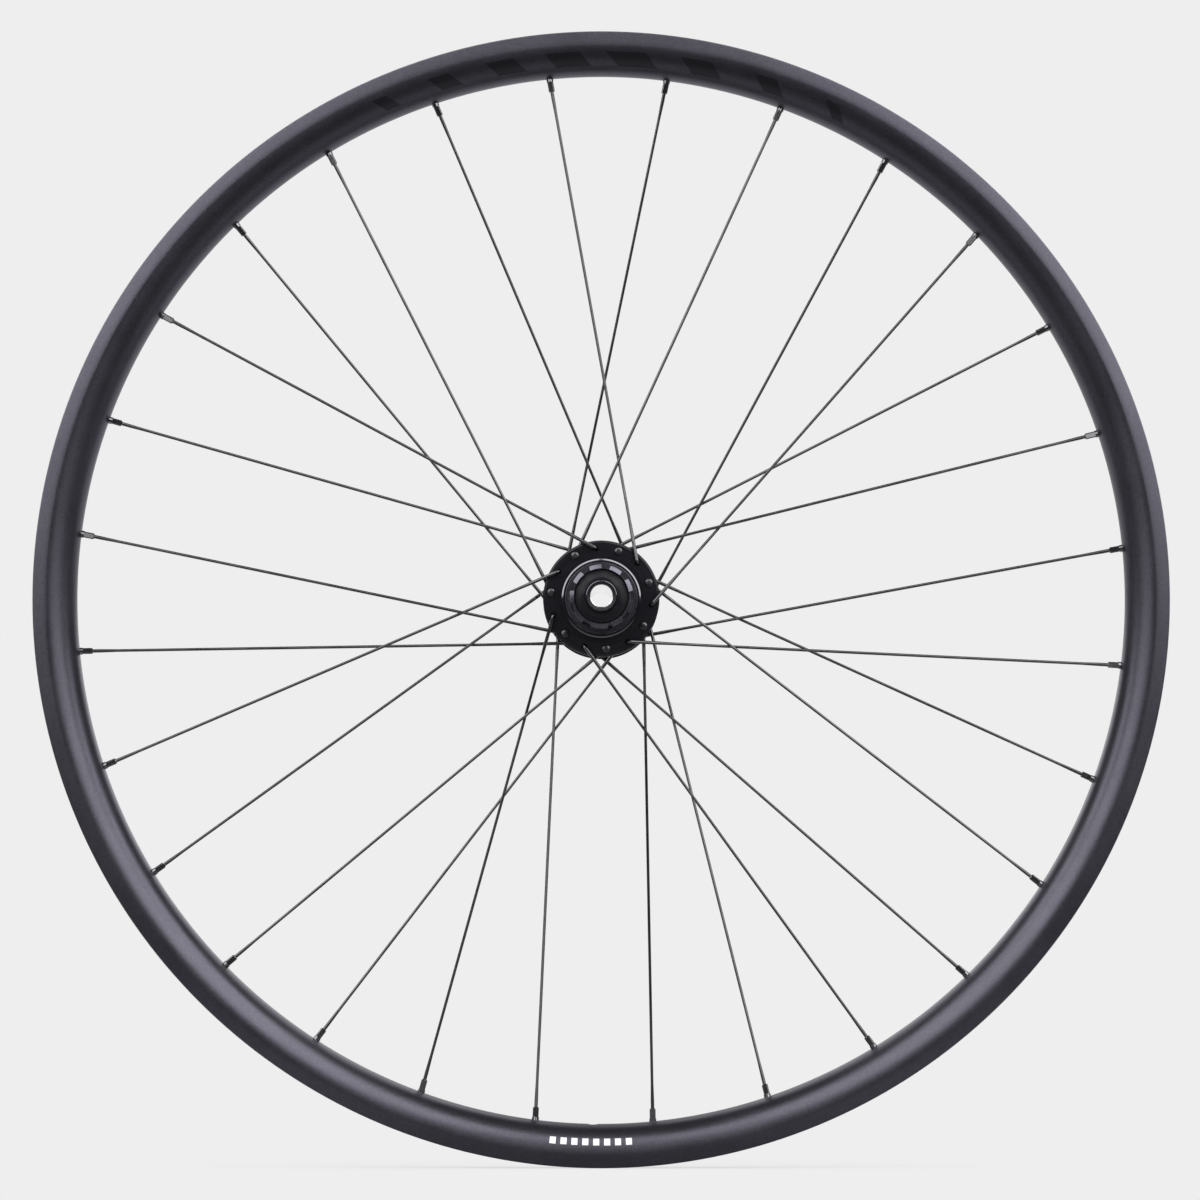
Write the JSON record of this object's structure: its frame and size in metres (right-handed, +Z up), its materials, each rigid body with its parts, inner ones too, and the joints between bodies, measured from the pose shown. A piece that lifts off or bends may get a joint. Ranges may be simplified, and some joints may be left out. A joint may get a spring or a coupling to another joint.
{
  "type": "bicycle wheel",
  "caption": "Rear disc-brake bicycle wheel: hollow rim laced to a flanged hub with a splined freehub, spinning on a hollow axle.",
  "frame": {"origin": "middle of the axle, in the rim's mid-plane", "axes": "+Y along the axle towards the disc side, +X forward, +Z up; the drive side faces -Y"},
  "size_m": [0.6333, 0.142, 0.6334],
  "materials": {
    "rim_black": "matte black, fine blasted grain",
    "hub_black": "gloss black anodised",
    "spoke_black": "black oxide, satin",
    "nipple_black": "gloss black",
    "cap_black": "satin black anodised",
    "freehub_black": "satin black hard anodised",
    "axle_alloy": "turned aluminium",
    "bearing_steel": "ground steel",
    "hard_steel": "hardened steel",
    "seal_rubber": "black rubber"
  },
  "bodies": {
    "axle": {"axle": "axle_alloy", "end_cap_drive": "cap_black", "end_cap_disc": "cap_black", "hub_bearing_inner_rings": "bearing_steel", "freehub_bearing_inner_rings": "bearing_steel", "freehub_spacer": "axle_alloy", "hub_spacer": "axle_alloy"},
    "wheel": {"rim": "rim_black", "hub_shell": "hub_black", "drive_spoke_01": "spoke_black", "drive_spoke_02": "spoke_black", "drive_spoke_03": "spoke_black", "drive_spoke_04": "spoke_black", "drive_spoke_05": "spoke_black", "drive_spoke_06": "spoke_black", "drive_spoke_07": "spoke_black", "drive_spoke_08": "spoke_black", "drive_spoke_09": "spoke_black", "drive_spoke_10": "spoke_black", "drive_spoke_11": "spoke_black", "drive_spoke_12": "spoke_black", "drive_spoke_13": "spoke_black", "drive_spoke_14": "spoke_black", "disc_spoke_01": "spoke_black", "disc_spoke_02": "spoke_black", "disc_spoke_03": "spoke_black", "disc_spoke_04": "spoke_black", "disc_spoke_05": "spoke_black", "disc_spoke_06": "spoke_black", "disc_spoke_07": "spoke_black", "disc_spoke_08": "spoke_black", "disc_spoke_09": "spoke_black", "disc_spoke_10": "spoke_black", "disc_spoke_11": "spoke_black", "disc_spoke_12": "spoke_black", "disc_spoke_13": "spoke_black", "disc_spoke_14": "spoke_black", "drive_nipples": "nipple_black", "disc_nipples": "nipple_black", "drive_ring": "hard_steel", "hub_bearing_outer_rings": "bearing_steel", "disc_seal": "seal_rubber"},
    "freehub": {"freehub_body": "freehub_black", "freehub_bearing_outer_rings": "bearing_steel", "freehub_seal": "seal_rubber", "pawl_spring": "hard_steel"},
    "pawl_1": {"pawl_1": "hard_steel"},
    "pawl_2": {"pawl_2": "hard_steel"},
    "pawl_3": {"pawl_3": "hard_steel"}
  },
  "joints": [
    {"name": "wheel_spin", "type": "hinge", "parent": "axle", "child": "wheel", "pos_m": [0, 0, 0], "axis": [0, 1, 0], "continuous": true},
    {"name": "freehub_spin", "type": "hinge", "parent": "axle", "child": "freehub", "pos_m": [0, 0, 0], "axis": [0, 1, 0], "continuous": true},
    {"name": "pawl_1_flip", "type": "hinge", "parent": "freehub", "child": "pawl_1", "pos_m": [0, -0.0223, 0.015], "axis": [0, 1, 0], "range_deg": [0, 15], "stiffness_Nm_per_rad": 0.01, "springref_deg": -9.74},
    {"name": "pawl_2_flip", "type": "hinge", "parent": "freehub", "child": "pawl_2", "pos_m": [-0.01299, -0.0223, -0.0075], "axis": [0, 1, 0], "range_deg": [0, 15], "stiffness_Nm_per_rad": 0.01, "springref_deg": -9.74},
    {"name": "pawl_3_flip", "type": "hinge", "parent": "freehub", "child": "pawl_3", "pos_m": [0.01299, -0.0223, -0.0075], "axis": [0, 1, 0], "range_deg": [0, 15], "stiffness_Nm_per_rad": 0.01, "springref_deg": -9.74}
  ]
}
